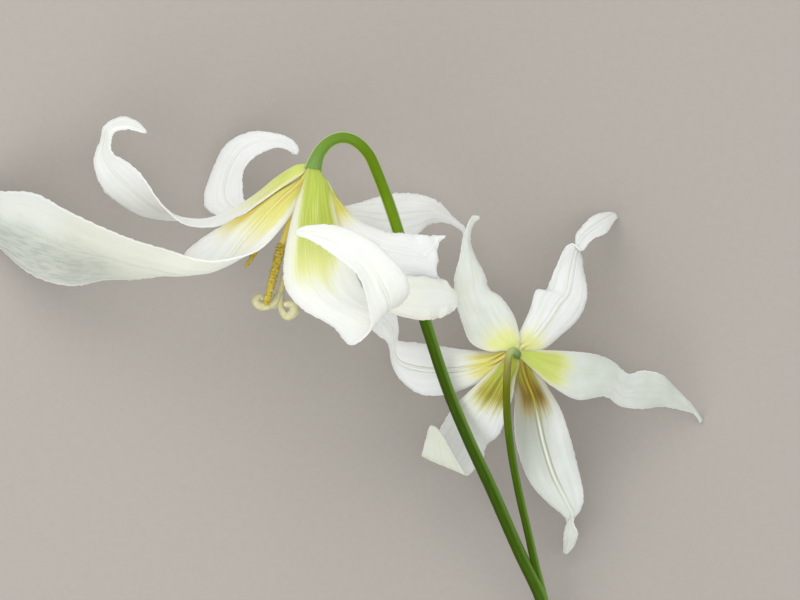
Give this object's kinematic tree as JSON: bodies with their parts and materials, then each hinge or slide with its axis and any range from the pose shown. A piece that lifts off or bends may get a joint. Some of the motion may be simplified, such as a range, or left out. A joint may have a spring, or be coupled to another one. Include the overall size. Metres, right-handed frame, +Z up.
{
  "type": "trout lily stem",
  "caption": "Cut trout lily stem lying on its side: a forked scape with arched stalks and nodding white blooms of recurved tepals, golden stamens and a curled stigma.",
  "frame": {"origin": "middle of the footprint, on the surface that the stem lies on", "axes": "+Z up from that surface, +Y from the cut end toward the blooms, +X toward the small bloom"},
  "size_m": [0.1216, 0.1618, 0.0583],
  "materials": {
    "stalk": "waxy satin green, browner toward the small bloom",
    "outer_tepal": "soft white with a broad yellow-green patch at the back of the base",
    "inner_tepal": "soft white, yellow at the base with twin reddish-brown streaks",
    "stamen": "grainy matt gold anthers on pale filaments",
    "pistil": "translucent waxy cream"
  },
  "bodies": {
    "root": {"stem": "stalk", "large_tepal_1": "outer_tepal", "large_tepal_2": "inner_tepal", "large_tepal_3": "outer_tepal", "large_tepal_4": "inner_tepal", "large_tepal_5": "outer_tepal", "large_tepal_6": "inner_tepal", "small_tepal_1": "outer_tepal", "small_tepal_2": "inner_tepal", "small_tepal_3": "outer_tepal", "small_tepal_4": "inner_tepal", "small_tepal_5": "outer_tepal", "small_tepal_6": "inner_tepal", "large_stamens": "stamen", "small_stamens": "stamen", "large_pistil": "pistil", "small_pistil": "pistil"}
  },
  "joints": []
}
